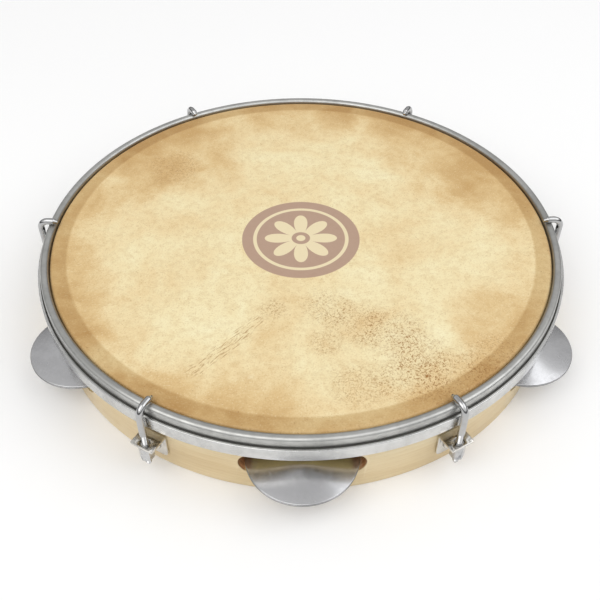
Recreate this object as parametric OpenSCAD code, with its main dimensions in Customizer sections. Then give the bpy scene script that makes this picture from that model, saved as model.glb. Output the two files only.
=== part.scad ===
// Framed hand drum with jingles: a bent-wood shell, a tunable film head held
// by two metal hoops and six claw hooks, and five pairs of dished jingles.
// The origin is on the drum's axis at the shell's bottom edge, +Z towards the
// head. Azimuths are in degrees from +X, and the front of the drum is at -Y.

/* [Shell] */
// Outside diameter of the wooden shell
shell_d = 304.8; // [290:0.1:320]
// Thickness of the shell's wall
shell_wall = 11; // [10:0.1:12]
// Height of the shell, bottom edge to bearing edge
shell_h = 47; // [47:0.1:50]
// Depth of the step that makes room for the hoops at the top of the shell
shell_step = 1.9; // [1.8:0.1:2]

/* [Head] */
// Thickness of the head's film
film_t = 0.35; // [0.25:0.05:0.4]
// Outside diameter of the channel hoop that holds the film
hoop_d = 317; // [316.6:0.1:318]
// Height of the channel hoop's outer wall
hoop_h = 8; // [7.5:0.1:8.5]
// Radial width of the counterhoop
counter_w = 4.8; // [4.6:0.05:4.9]
// Height of the counterhoop
counter_h = 6.1; // [5.6:0.1:6.4]

/* [Hooks] */
// Diameter of a claw hook's rod
rod_d = 4; // [3.6:0.1:4.2]
// Diameter of the threaded end of a hook
thread_d = 3.3; // [3:0.1:3.5]
// Distance from the drum's axis to a hook's rod
rod_r = 161.3; // [161.2:0.1:162]
// Turn of the two side hooks away from the even sixths of the circle
side_turn = 3; // [0:0.5:4]
// Width of a hook nut across its flats
nut_af = 7; // [6.5:0.1:7.5]
// Height of a hook nut
nut_h = 10; // [9:0.1:13]

/* [Brackets] */
// Width of an L-shaped bracket
lug_w = 14; // [12:0.5:16]
// Thickness of a bracket's sheet
lug_t = 1.2; // [1:0.1:1.5]
// Height of a bracket's shelf above the bottom of the shell
lug_z = 25; // [24:0.5:26]
// Height of a bracket's lower edge
lug_foot = 8; // [6:0.5:9]
// Height of the bracket's screw
screw_z = 14.5; // [14:0.5:17]

/* [Jingles] */
// Diameter of a jingle
jingle_d = 59.2; // [56:0.1:60]
// Thickness of a jingle's sheet
jingle_t = 0.8; // [0.6:0.05:0.9]
// Rise of a jingle from its rim to its flat crown
jingle_rise = 4.8; // [4:0.1:4.8]
// Diameter of the crown, where the jingle's cone would meet it
crown_d = 15.6; // [12:0.1:20]
// Distance from the drum's axis to a jingle pin
pin_r = 143.8; // [143:0.1:146]
// Diameter of a jingle pin
pin_d = 2.8; // [2.4:0.1:3]
// Width of a jingle slot
slot_w = 66; // [64:0.5:68]
// Height of a jingle slot
slot_h = 14.6; // [14.4:0.1:15]
// Height of the slot's lower edge
slot_z = 12.9; // [12:0.1:13]

/* [Hidden] */
$fn = 96;
RING_FN = 180;

shell_r = shell_d / 2;
shell_ri = shell_r - shell_wall;
step_r = shell_r - shell_step;
edge_round = 1.8;
foot_round = 1;
inner_break = 1.5;

// The film runs over the bearing edge, down the step and out into the channel.
film_top = shell_h + film_t;
skirt_gap = 0.1;
skirt_r = step_r + skirt_gap;
flare_z = 42.3;

hoop_r = hoop_d / 2;
hoop_z = 35;
step_z = hoop_z - 0.5;
hoop_t = 1.2;
lip_t = 1.5;
hoop_gap = 1.4;
hoop_ri = step_r + hoop_gap;
resin_wrap = 0.5;
tuck_r = hoop_ri + hoop_t + resin_wrap;
tuck_z = 38;
resin_top = 42.8;
resin_r = hoop_r - lip_t;

counter_z = resin_top + 0.1;
counter_top = counter_z + counter_h;
counter_gap = 0.6;
counter_r = resin_r - counter_gap;
counter_ri = counter_r - counter_w;
counter_round = 2;
counter_foot_round = 0.6;

// Hook: the rod rises, turns inward over the counterhoop and ends in a claw.
claw_z = counter_top + 0.1 + rod_d / 2;
bend_r = 5;
thread_top = 31.6;
thread_lead = 0.5;
shoulder = 0.4;
rod_foot = 7.6;
claw_bend_r = 153.4;
claw_reach = rod_r - bend_r - claw_bend_r;
claw_tip = 2.3;
claw_tip_d = 0.62 * rod_d;
claw_drop = 14;
nut_top = lug_z - lug_t - 0.1;
nut_foot = nut_top - nut_h;
nut_collar = 1;
lug_hole_d = 5.4;
collar_d = lug_hole_d - 0.6;
thread_clear = 0.05;

lug_face = shell_r + 0.05;
lug_end = 165;
lug_corner = 3;
screw_d = 3;
screw_head_d = 5.8;
screw_head_h = 2.1;
screw_crown_h = 0.95;
screw_crown_d = 3.8;
recess_w = 0.7;
recess_l = 3.2;
recess_depth = 1.2;
screw_end = 2.2;
washer_d = 7;
washer_t = 0.6;
screw_nut_af = 5.5;
screw_nut_h = 2.4;
wood_play = 0.02;

slot_mid = slot_z + slot_h / 2;
pin_foot = 0.6;
pin_top = 36;
crown_blend = 1.2;
jingle_play = 0.7;
lower_rim_z = slot_z + 0.1 + jingle_rise + jingle_t;
upper_rim_z = lower_rim_z + 0.2;

// Name and azimuth of each hook with its nut and bracket.
HOOKS = [
  ["right", side_turn], ["back_right", 60], ["back_left", 120],
  ["left", 180 - side_turn], ["front_left", 240], ["front_right", 300]
];
// Jingles sit midway between hooks, and the back is left free for the hand.
JINGLES = [
  ["front", 270],
  ["left", (HOOKS[3][1] + HOOKS[4][1]) / 2],
  ["right", (HOOKS[5][1] + HOOKS[0][1] + 360) / 2],
  ["back_left", (HOOKS[2][1] + HOOKS[3][1]) / 2],
  ["back_right", (HOOKS[0][1] + HOOKS[1][1]) / 2]
];

// Points along an arc, from angle a to angle b about [x, y].
function arc(x, y, r, a, b, steps) =
  [for (i = [0 : steps]) [x + r * cos(a + (b - a) * i / steps), y + r * sin(a + (b - a) * i / steps)]];

// Turns its children from the +X axis to an azimuth.
module at(azimuth) {
  rotate([0, 0, azimuth]) children();
}

// A full ring from a profile of radius and height.
module ring(points) {
  rotate_extrude($fn = RING_FN) polygon(points);
}

// A bar along +X from one distance to another, at a height.
module bar_x(x0, x1, z, d) {
  translate([x0, 0, z]) rotate([0, 90, 0]) cylinder(h = x1 - x0, d = d);
}

// A hexagonal prism with chamfered corners, from z = 0 up.
module hexagon(af, h) {
  across = af / cos(30);
  cut = (across - af) / 2 * tan(30);
  intersection() {
    cylinder(h = h, d = across, $fn = 6);
    union() {
      cylinder(h = cut, d1 = af, d2 = across);
      translate([0, 0, cut]) cylinder(h = h - 2 * cut, d = across);
      translate([0, 0, h - cut]) cylinder(h = cut, d1 = across, d2 = af);
    }
  }
}

// Profile of the shell's wall: a stepped top with a rounded bearing edge.
function shell_profile() = concat(
  [[shell_ri + foot_round, 0], [shell_r - foot_round, 0]],
  arc(shell_r - foot_round, foot_round, foot_round, -60, 0, 3),
  [[shell_r, step_z - shell_step / 2], [step_r, step_z]],
  arc(step_r - edge_round, shell_h - edge_round, edge_round, 0, 90, 8),
  [[shell_ri + inner_break, shell_h], [shell_ri, shell_h - inner_break], [shell_ri, foot_round]]
);

// A slot with round ends, cut straight through the wall.
module jingle_slot() {
  translate([shell_ri - 30, 0, slot_mid])
    rotate([90, 0, 90])
      linear_extrude(height = shell_wall + 60)
        union() {
          square([slot_w - slot_h, slot_h], center = true);
          for (side = [-1, 1]) translate([side * (slot_w - slot_h) / 2, 0]) circle(d = slot_h);
        }
}

module shell() {
  color("burlywood")
    difference() {
      ring(shell_profile());
      for (j = JINGLES) at(j[1]) {
        jingle_slot();
        translate([pin_r, 0, -1]) cylinder(h = pin_top + 1, d = pin_d + 2 * wood_play);
      }
      for (h = HOOKS) at(h[1])
        bar_x(shell_ri - 5, shell_r + 5, screw_z, screw_d + 2 * wood_play);
    }
}

// The film: a flat top, a rounded collar, a skirt, and an edge in the channel.
module head_film() {
  color("wheat")
    ring(concat(
      [[0, shell_h], [step_r - edge_round, shell_h]],
      arc(step_r - edge_round, shell_h - edge_round, edge_round + 0.05, 80, 0, 8),
      [[skirt_r, flare_z], [tuck_r, flare_z], [tuck_r, tuck_z], [tuck_r + film_t, tuck_z],
       [tuck_r + film_t, flare_z + film_t], [skirt_r + film_t, flare_z + film_t]],
      arc(step_r - edge_round, shell_h - edge_round, edge_round + skirt_gap + film_t, 0, 80, 8),
      [[step_r - edge_round, film_top], [0, film_top]]
    ));
}

// The channel hoop that the film's edge is cast into, open at the top.
module head_hoop() {
  lip_top = hoop_z + hoop_h;
  color("gainsboro")
    ring(concat(
      [[hoop_ri + 0.4, hoop_z], [hoop_r - 0.6, hoop_z]],
      arc(hoop_r - 0.6, hoop_z + 0.6, 0.6, -60, 0, 3),
      arc(hoop_r - 0.5, lip_top - 0.5, 0.5, 0, 90, 4),
      [[resin_r + 0.2, lip_top], [resin_r, lip_top - 0.2], [resin_r, hoop_z + hoop_t],
       [hoop_ri + hoop_t, hoop_z + hoop_t], [hoop_ri + hoop_t, flare_z - 0.1],
       [hoop_ri, flare_z - 0.1], [hoop_ri, hoop_z + 0.4]]
    ));
}

// The bead of resin that fills the channel around the film's edge.
module hoop_resin() {
  inner = hoop_ri + hoop_t;
  color("dimgray")
    ring([
      [inner, hoop_z + hoop_t], [resin_r, hoop_z + hoop_t], [resin_r, hoop_z + hoop_h - 0.2],
      [resin_r - 0.2, resin_top], [tuck_r + film_t, resin_top], [tuck_r + film_t, tuck_z],
      [tuck_r, tuck_z], [tuck_r, flare_z], [inner, flare_z]
    ]);
}

// The counterhoop that the hooks pull down, a bar with a rounded top.
module counterhoop() {
  r = counter_round;
  foot = counter_foot_round;
  color("silver")
    ring(concat(
      arc(counter_r - foot, counter_z + foot, foot, -90, 0, 3),
      arc(counter_r - r, counter_top - r, r, 0, 90, 8),
      arc(counter_ri + r, counter_top - r, r, 90, 180, 8),
      arc(counter_ri + foot, counter_z + foot, foot, 180, 270, 3)
    ));
}

// A claw hook: threaded foot, straight rod, quarter bend and tapered claw.
module hook() {
  color("whitesmoke")
    union() {
      translate([rod_r, 0, rod_foot])
        cylinder(h = thread_lead, d1 = thread_d - 2 * thread_lead, d2 = thread_d);
      translate([rod_r, 0, rod_foot + thread_lead])
        cylinder(h = thread_top - rod_foot - thread_lead, d = thread_d);
      translate([rod_r, 0, thread_top]) cylinder(h = shoulder, d1 = thread_d, d2 = rod_d);
      translate([rod_r, 0, thread_top + shoulder])
        cylinder(h = claw_z - bend_r - thread_top - shoulder, d = rod_d);
      translate([rod_r - bend_r, 0, claw_z - bend_r]) rotate([90, 0, 0])
        rotate_extrude(angle = 90) translate([bend_r, 0]) circle(d = rod_d);
      translate([rod_r - bend_r, 0, claw_z]) rotate([0, -90, 0]) cylinder(h = claw_reach, d = rod_d);
      translate([claw_bend_r, 0, claw_z]) rotate([0, -90 - claw_drop, 0]) {
        sphere(d = rod_d);
        cylinder(h = claw_tip, d1 = rod_d, d2 = claw_tip_d);
        translate([0, 0, claw_tip]) sphere(d = claw_tip_d);
      }
    }
}

// The long hexagonal nut under a bracket, with a collar in the bracket's hole.
module hook_nut() {
  color("lightgray")
    translate([rod_r, 0, nut_foot])
      difference() {
        union() {
          hexagon(nut_af, nut_h);
          cylinder(h = nut_h + nut_collar, d = collar_d);
        }
        translate([0, 0, -1]) cylinder(h = nut_h + 3, d = thread_d + 2 * thread_clear);
      }
}

// The L-shaped bracket: a flange on the shell and a shelf for the hook.
module bracket() {
  color("silver")
    difference() {
      union() {
        translate([lug_face, -lug_w / 2, lug_z - lug_t]) cube([lug_end - lug_face, lug_w, lug_t]);
        translate([lug_face, -lug_w / 2, lug_foot + lug_corner])
          cube([lug_t, lug_w, lug_z - lug_foot - lug_corner]);
        translate([lug_face, -lug_w / 2 + lug_corner, lug_foot])
          cube([lug_t, lug_w - 2 * lug_corner, lug_corner + 1]);
        for (side = [-1, 1])
          translate([lug_face, side * (lug_w / 2 - lug_corner), lug_foot + lug_corner])
            rotate([0, 90, 0]) cylinder(h = lug_t, r = lug_corner);
      }
      translate([rod_r, 0, lug_z - lug_t - 1]) cylinder(h = lug_t + 2, d = lug_hole_d);
      bar_x(lug_face - 1, lug_face + lug_t + 1, screw_z, screw_d + 0.2);
    }
}

// A pan-head screw with a cross recess, from outside the bracket inwards.
module bracket_screw() {
  head_x = lug_face + lug_t;
  inner_end = shell_ri - washer_t - screw_nut_h - screw_end;
  color("silver")
    difference() {
      union() {
        bar_x(inner_end, head_x, screw_z, screw_d);
        translate([head_x, 0, screw_z]) rotate([0, 90, 0]) {
          cylinder(h = screw_head_h - screw_crown_h, d = screw_head_d);
          translate([0, 0, screw_head_h - screw_crown_h])
            cylinder(h = screw_crown_h, d1 = screw_head_d, d2 = screw_crown_d);
        }
      }
      for (turn = [0, 90])
        translate([head_x + screw_head_h, 0, screw_z]) rotate([turn, 0, 0])
          cube([2 * recess_depth, recess_w, recess_l], center = true);
    }
}

module bracket_screws() {
  for (h = HOOKS) at(h[1]) bracket_screw();
}

module bracket_washers() {
  color("silver")
    for (h = HOOKS) at(h[1])
      difference() {
        bar_x(shell_ri - 0.05 - washer_t, shell_ri - 0.05, screw_z, washer_d);
        bar_x(shell_ri - 3, shell_ri + 3, screw_z, screw_d + 0.2);
      }
}

module bracket_screw_nuts() {
  color("silver")
    for (h = HOOKS) at(h[1])
      translate([shell_ri - 0.05 - washer_t - screw_nut_h, 0, screw_z]) rotate([0, 90, 0])
        difference() {
          hexagon(screw_nut_af, screw_nut_h);
          translate([0, 0, -1]) cylinder(h = screw_nut_h + 2, d = screw_d + 2 * wood_play);
        }
}

// The steel pin that a pair of jingles slides on.
module jingle_pin() {
  color("silver")
    translate([pin_r, 0, pin_foot]) cylinder(h = pin_top - pin_foot - 0.2, d = pin_d);
}

// Profile of a jingle, from the hole out: a flat crown that eases into a plain
// cone down to the rim. The rim's lower face is at height 0.
jingle_r = jingle_d / 2;
crown_r = crown_d / 2;
cone_slope = jingle_rise / (jingle_r - crown_r);
hole_r = pin_d / 2 + jingle_play;
function jingle_height(r) =
  r <= crown_r - crown_blend ? jingle_rise :
  r >= crown_r + crown_blend ? cone_slope * (jingle_r - r) :
  jingle_rise - cone_slope * pow(r - crown_r + crown_blend, 2) / (4 * crown_blend);
BLEND_STEPS = 6;
JINGLE_RADII = concat(
  [hole_r],
  [for (i = [0 : BLEND_STEPS]) crown_r - crown_blend + 2 * crown_blend * i / BLEND_STEPS],
  [jingle_r]
);
JINGLE_LINE = [for (r = JINGLE_RADII) [r, jingle_height(r)]];
function reversed(list) = [for (i = [len(list) - 1 : -1 : 0]) list[i]];

module jingle() {
  color("lightgray")
    rotate_extrude($fn = RING_FN)
      polygon(concat(JINGLE_LINE, reversed([for (p = JINGLE_LINE) p + [0, jingle_t]])));
}

module upper_jingle() {
  translate([pin_r, 0, upper_rim_z]) jingle();
}

module lower_jingle() {
  translate([pin_r, 0, lower_rim_z]) mirror([0, 0, 1]) jingle();
}

shell();
head_film();
head_hoop();
hoop_resin();
counterhoop();
bracket_screws();
bracket_washers();
bracket_screw_nuts();
for (h = HOOKS) {
  at(h[1]) hook();
  at(h[1]) hook_nut();
  at(h[1]) bracket();
}
for (j = JINGLES) {
  at(j[1]) jingle_pin();
  at(j[1]) upper_jingle();
  at(j[1]) lower_jingle();
}
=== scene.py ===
"""A tunable framed hand drum with five pairs of jingles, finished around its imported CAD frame."""
import math

import bmesh
import bpy
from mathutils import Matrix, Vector


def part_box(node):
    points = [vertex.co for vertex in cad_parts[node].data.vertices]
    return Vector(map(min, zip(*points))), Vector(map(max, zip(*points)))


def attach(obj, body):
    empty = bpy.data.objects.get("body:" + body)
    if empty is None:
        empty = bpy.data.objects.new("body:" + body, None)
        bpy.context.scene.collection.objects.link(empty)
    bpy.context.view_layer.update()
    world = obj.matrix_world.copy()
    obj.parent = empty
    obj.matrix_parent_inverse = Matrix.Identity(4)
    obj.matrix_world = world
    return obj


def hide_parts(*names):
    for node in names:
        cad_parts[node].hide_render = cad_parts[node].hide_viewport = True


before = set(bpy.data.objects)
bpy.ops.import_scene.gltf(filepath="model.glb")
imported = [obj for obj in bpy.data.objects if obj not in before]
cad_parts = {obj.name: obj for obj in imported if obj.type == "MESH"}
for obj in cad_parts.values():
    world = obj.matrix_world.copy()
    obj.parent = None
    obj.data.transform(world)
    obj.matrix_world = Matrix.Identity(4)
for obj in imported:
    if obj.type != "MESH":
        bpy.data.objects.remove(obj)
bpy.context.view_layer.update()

# ---------------- places read from the CAD frame
HOOKS = ["right", "back_right", "back_left", "left", "front_left", "front_right"]
JINGLES = ["front", "left", "right", "back_left", "back_right"]


def middle_of(node):
    """The middle of a CAD node's box."""
    low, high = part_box(node)
    return (low + high) / 2


def azimuth_of(node):
    """The direction of a CAD node from the drum's axis."""
    middle = middle_of(node)
    return math.atan2(middle.y, middle.x)


# ---------------- sizes, in metres
MM = 0.001
RING_STEPS = 240

shell_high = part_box("shell")[1]
SHELL_R = shell_high.x
SHELL_TOP = shell_high.z
SHELL_WALL = 11 * MM
SHELL_RI = SHELL_R - SHELL_WALL
SHELL_STEP = 1.9 * MM
STEP_R = SHELL_R - SHELL_STEP
EDGE_ROUND = 1.8 * MM
TOP_INNER_BREAK = 1.5 * MM
FOOT_ROUND = 1.0 * MM
PLY_T = SHELL_WALL / 3.5
PIN_HOLE_R = 1.42 * MM
PIN_HOLE_DEPTH = 37 * MM
PIN_HOLE_Z = 17.5 * MM
SCREW_HOLE_R = 1.52 * MM

FILM_T = 0.35 * MM
FILM_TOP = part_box("head_film")[1].z
SKIRT_R = STEP_R + 0.1 * MM
FLARE_Z = 42.3 * MM
TUCK_FOOT = 38 * MM

hoop_low, hoop_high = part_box("head_hoop")
HOOP_R = hoop_high.x
HOOP_Z = hoop_low.z
HOOP_TOP = hoop_high.z
HOOP_RI = STEP_R + 1.4 * MM
HOOP_T = 1.2 * MM
HOOP_FOOT_ROUND = 0.6 * MM
LIP_T = 1.5 * MM
LIP_ROUND = 0.5 * MM
LIP_BREAK = 0.3 * MM
RESIN_TOP = 42.8 * MM
TUCK_R = HOOP_RI + HOOP_T + 0.5 * MM

counter_low, counter_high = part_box("counterhoop")
COUNTER_R = counter_high.x
COUNTER_W = 4.8 * MM
COUNTER_ROUND = 2.0 * MM
COUNTER_FOOT_ROUND = 0.6 * MM

BADGE_R = 35.8 * MM
BADGE_Y = 4.4 * MM
BADGE_SOFT = 0.15 * MM
BADGE_RING_R = 28.0 * MM
BADGE_RING_HALF = 1.1 * MM
LEAF_START = 6.5 * MM
LEAF_REACH = 15.5 * MM
HUB_R = 5.6 * MM
EYE_R = 2.8 * MM

ROD_X = math.hypot(*middle_of("hook_nut_right").xy)
ROD_D = 4.0 * MM
THREAD_D = 3.3 * MM
THREAD_PITCH = 0.7 * MM
THREAD_TOP = 31.6 * MM
THREAD_DEPTH = 0.55
BEND_R = 5.0 * MM
CLAW_BEND_R = 153.4 * MM
CLAW_TIP = 2.3 * MM
CLAW_TIP_D = 0.62 * ROD_D
CLAW_DROP = math.radians(14)
SHOULDER_H = 0.4 * MM
NUT_AF = 7.0 * MM
COLLAR_D = 4.8 * MM
COLLAR_H = 1.0 * MM

LUG_T = 1.2 * MM
LUG_HALF = 7.0 * MM
LUG_FACE = SHELL_R + 0.05 * MM
LUG_BEND = 1.9 * MM
LUG_FOOT_ROUND = 3 * MM
LUG_HOLE_D = 5.4 * MM
LUG_SCREW_HOLE_R = 1.6 * MM
SHELF_END = 165.0 * MM
SHELF_ROUND = 0.8 * MM
SCREW_D = 3.0 * MM
SCREW_PITCH = 0.5 * MM
SCREW_Z = 14.5 * MM
SCREW_HEAD_D = 5.8 * MM
SCREW_HEAD_H = 2.1 * MM
SCREW_SPARE = 2.2 * MM
SCREW_NUT_AF = 5.5 * MM
SCREW_NUT_H = 2.4 * MM
WASHER_T = 0.6 * MM
WASHER_R = 3.5 * MM
WASHER_HOLE_R = 1.6 * MM
WASHER_EDGE = 0.12 * MM

JINGLE_T = 0.8 * MM
JINGLE_RISE = 4.8 * MM
CROWN_R = 7.8 * MM
CROWN_BLEND = 1.2 * MM
JINGLE_R = 29.6 * MM
JINGLE_HOLE_R = 2.1 * MM
PIN_R = 1.4 * MM
PIN_EDGE = 0.35 * MM
SLOT_W = 66.0 * MM
SLOT_H = 14.6 * MM
SLOT_Z = 12.9 * MM

SIDEWAYS = math.radians(90)


# ---------------- camera, floor and light
def make_camera():
    """The camera: in front of the drum and above it, turned aside a little."""
    aside = math.radians(0.3)
    back, up = 0.3956, 0.3771
    tilt, roll, heading = math.radians(45.644), math.radians(0.039), math.radians(0.040)
    data = bpy.data.cameras.new("camera")
    data.lens = 50.19
    data.sensor_width = 36.0
    data.clip_start = 0.01
    camera = bpy.data.objects.new("camera", data)
    camera.location = (-back * math.sin(aside), -back * math.cos(aside), up)
    camera.rotation_euler = (tilt, roll, heading - aside)
    bpy.context.scene.collection.objects.link(camera)
    bpy.context.scene.camera = camera


def make_light(name, place, size, power, colour):
    """A soft square lamp that faces the middle of the drum."""
    data = bpy.data.lights.new(name, "AREA")
    data.shape = "SQUARE"
    data.size = size
    data.energy = power
    data.color = colour
    lamp = bpy.data.objects.new(name, data)
    lamp.location = place
    lamp.rotation_euler = (Vector((0, 0, 0.02)) - Vector(place)).to_track_quat("-Z", "Y").to_euler()
    bpy.context.scene.collection.objects.link(lamp)


def make_world():
    """A pale room, darker near the floor, so that polished metal has something to show."""
    world = bpy.data.worlds.new("room")
    bpy.context.scene.world = world
    world.use_nodes = True
    tree = world.node_tree
    tree.nodes.clear()
    _, y, z = split(tree, put(tree, "TexCoord").outputs["Generated"])
    glow = ramp_of(tree, z, [(0.0, grey(0.30)), (0.10, grey(0.10)), (0.26, grey(0.16)), (0.40, grey(0.68)),
                             (0.70, grey(0.82)), (0.93, grey(0.71)), (1.0, grey(0.68))])
    room = put(tree, "Background", {"Color": glow, "Strength": span(tree, y, -0.7, 0.4, 1.45, 0.85)})
    seen = put(tree, "Background", {"Color": grey(0.97)})
    by_eye = put(tree, "LightPath").outputs["Is Camera Ray"]
    either = put(tree, "MixShader", {0: by_eye, 1: room.outputs[0], 2: seen.outputs[0]})
    put(tree, "OutputWorld", {"Surface": either.outputs[0]})


# ---------------- shader tools
def feed(tree, socket, value):
    """Links a socket to a value's output, or sets it."""
    if isinstance(value, bpy.types.NodeSocket):
        tree.links.new(value, socket)
    else:
        socket.default_value = value


def put(tree, kind, inputs=None, **settings):
    """Adds a shader node with its settings and inputs."""
    node = tree.nodes.new("ShaderNode" + kind)
    for name, value in settings.items():
        setattr(node, name, value)
    for name, value in (inputs or {}).items():
        feed(tree, node.inputs[name], value)
    return node


def calc(tree, operation, a, b=0.0, c=0.0, clamp=False):
    """The result of a maths node."""
    node = put(tree, "Math", {0: a, 1: b, 2: c}, operation=operation, use_clamp=clamp)
    return node.outputs[0]


def times(tree, a, b, clamp=False):
    """The product of two values."""
    return calc(tree, "MULTIPLY", a, b, clamp=clamp)


def span(tree, value, low, high, out_low=0.0, out_high=1.0):
    """Eases a value from low..high to out_low..out_high."""
    node = put(tree, "MapRange", {"Value": value, "From Min": low, "From Max": high,
                                  "To Min": out_low, "To Max": out_high})
    node.interpolation_type = "SMOOTHSTEP"
    return node.outputs["Result"]


def blend(tree, factor, a, b, blend_type="MIX"):
    """Mixes two colours."""
    node = put(tree, "Mix", {0: factor, 6: a, 7: b}, data_type="RGBA", blend_type=blend_type)
    return node.outputs[2]


def split(tree, vector):
    """The x, y and z of a vector."""
    return put(tree, "SeparateXYZ", {0: vector}).outputs


def off_axis(tree, x, y):
    """How far a point lies from the Z axis."""
    return calc(tree, "SQRT", calc(tree, "ADD", times(tree, x, x), times(tree, y, y)))


def facing_up(tree):
    """How far up a surface faces, from -1 to 1."""
    return split(tree, put(tree, "NewGeometry").outputs["Normal"])[2]


def noise(tree, place, scale, detail=3.0, roughness=0.5, distortion=0.0):
    """Plain fractal noise, 0 to 1."""
    node = put(tree, "TexNoise", {"Vector": place, "Scale": scale, "Detail": detail,
                                  "Roughness": roughness, "Distortion": distortion})
    return node.outputs["Fac"]


def stretch(tree, place, scale, turn=(0.0, 0.0, 0.0), move=(0.0, 0.0, 0.0)):
    """Moves, turns and scales a place, for a pattern that runs one way."""
    node = put(tree, "Mapping", {"Vector": place, "Location": move, "Rotation": turn, "Scale": scale})
    return node.outputs["Vector"]


def ramp_of(tree, value, stops):
    """The colour at a value, from (position, colour) stops."""
    node = put(tree, "ValToRGB", {"Fac": value})
    elements = node.color_ramp.elements
    while len(elements) > 1:
        elements.remove(elements[-1])
    elements[0].position, elements[0].color = stops[0]
    for position, colour in stops[1:]:
        elements.new(position).color = colour
    return node.outputs["Color"]


def grey(value):
    """A plain grey."""
    return (value, value, value, 1.0)


def tone(red, green, blue):
    """A colour given as it looks on a screen, 0 to 255, as the shader wants it."""
    def linear(v):
        v /= 255
        return v / 12.92 if v <= 0.04045 else ((v + 0.055) / 1.055) ** 2.4
    return (linear(red), linear(green), linear(blue), 1.0)


def object_place(tree):
    """The place on the drum, in metres."""
    return put(tree, "TexCoord").outputs["Object"]


def start_group(name, inputs, outputs):
    """A shader node group with float inputs (name, value) and outputs (name, kind)."""
    group = bpy.data.node_groups.new(name, "ShaderNodeTree")
    for label, value in inputs:
        socket = group.interface.new_socket(label, in_out="INPUT", socket_type="NodeSocketFloat")
        socket.default_value = value
    for label, kind in outputs:
        group.interface.new_socket(label, in_out="OUTPUT", socket_type="NodeSocket" + kind)
    return group, group.nodes.new("NodeGroupInput"), group.nodes.new("NodeGroupOutput")


def use(tree, group, **values):
    """Places a node group and sets its inputs."""
    node = tree.nodes.new("ShaderNodeGroup")
    node.node_tree = group
    for name, value in values.items():
        feed(tree, node.inputs[name], value)
    return node


def group_around_drum():
    """Where a point is along the hoop: distance round from the back, radius and height."""
    group, _, out = start_group("around_drum", [],
                                [("Around", "Vector"), ("Radius", "Float"), ("Height", "Float")])
    x, y, z = split(group, object_place(group))
    angle = calc(group, "ARCTAN2", x, times(group, y, -1.0))
    radius = off_axis(group, x, y)
    around = put(group, "CombineXYZ", {0: times(group, angle, SHELL_R), 1: radius, 2: z})
    feed(group, out.inputs["Around"], around.outputs[0])
    feed(group, out.inputs["Radius"], radius)
    feed(group, out.inputs["Height"], z)
    return group


def group_handled():
    """Soft marks of handling: a roughness between Low and High, and a faint dulling mask."""
    group, given, out = start_group("handled", [("Scale", 60.0), ("Low", 0.1), ("High", 0.3)],
                                    [("Roughness", "Float"), ("Dull", "Float")])
    place = object_place(group)
    broad = noise(group, place, given.outputs["Scale"], 4.0, 0.6, 0.4)
    fine = noise(group, place, times(group, given.outputs["Scale"], 9.0), 2.0, 0.5)
    both = calc(group, "ADD", times(group, broad, 0.75), times(group, fine, 0.25))
    mask = span(group, both, 0.34, 0.66)
    feed(group, out.inputs["Dull"], mask)
    width = calc(group, "SUBTRACT", given.outputs["High"], given.outputs["Low"])
    feed(group, out.inputs["Roughness"], calc(group, "MULTIPLY_ADD", mask, width, given.outputs["Low"]))
    return group


def group_edge_wear():
    """A mask along sharp outer edges, broken up as by rubbing."""
    group, given, out = start_group("edge_wear", [("Start", 0.53), ("End", 0.6), ("Scale", 400.0)],
                                    [("Wear", "Float")])
    place = object_place(group)
    sharp = put(group, "NewGeometry").outputs["Pointiness"]
    node = put(group, "MapRange", {"Value": sharp, "From Min": given.outputs["Start"],
                                   "From Max": given.outputs["End"]})
    broken = span(group, noise(group, place, given.outputs["Scale"], 3.0, 0.6), 0.35, 0.6)
    feed(group, out.inputs["Wear"], times(group, node.outputs["Result"], broken, clamp=True))
    return group


def group_turned_lines(around):
    """Fine lines left by rolling and turning, running round the drum."""
    group, given, out = start_group("turned_lines", [("Density", 5000.0), ("Length", 12.0)],
                                    [("Lines", "Float")])
    along, across, up = split(group, use(group, around).outputs["Around"])
    density = given.outputs["Density"]
    node = put(group, "CombineXYZ", {0: times(group, along, given.outputs["Length"]),
                                     1: times(group, across, density),
                                     2: times(group, up, density)})
    feed(group, out.inputs["Lines"], noise(group, node.outputs[0], 1.0, 3.0, 0.6))
    return group


def new_material(name):
    """A new material, with its tree and its shader."""
    material = bpy.data.materials.new(name)
    material.use_nodes = True
    tree = material.node_tree
    return material, tree, tree.nodes["Principled BSDF"]


def surface(tree, shader, colour, roughness):
    """Gives a shader its colour and its roughness."""
    feed(tree, shader.inputs["Base Color"], colour)
    feed(tree, shader.inputs["Roughness"], roughness)


def bump(tree, shader, height, strength, distance):
    """Fine relief from a height."""
    node = put(tree, "Bump", {"Height": height, "Strength": strength, "Distance": distance})
    feed(tree, shader.inputs["Normal"], node.outputs["Normal"])


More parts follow.
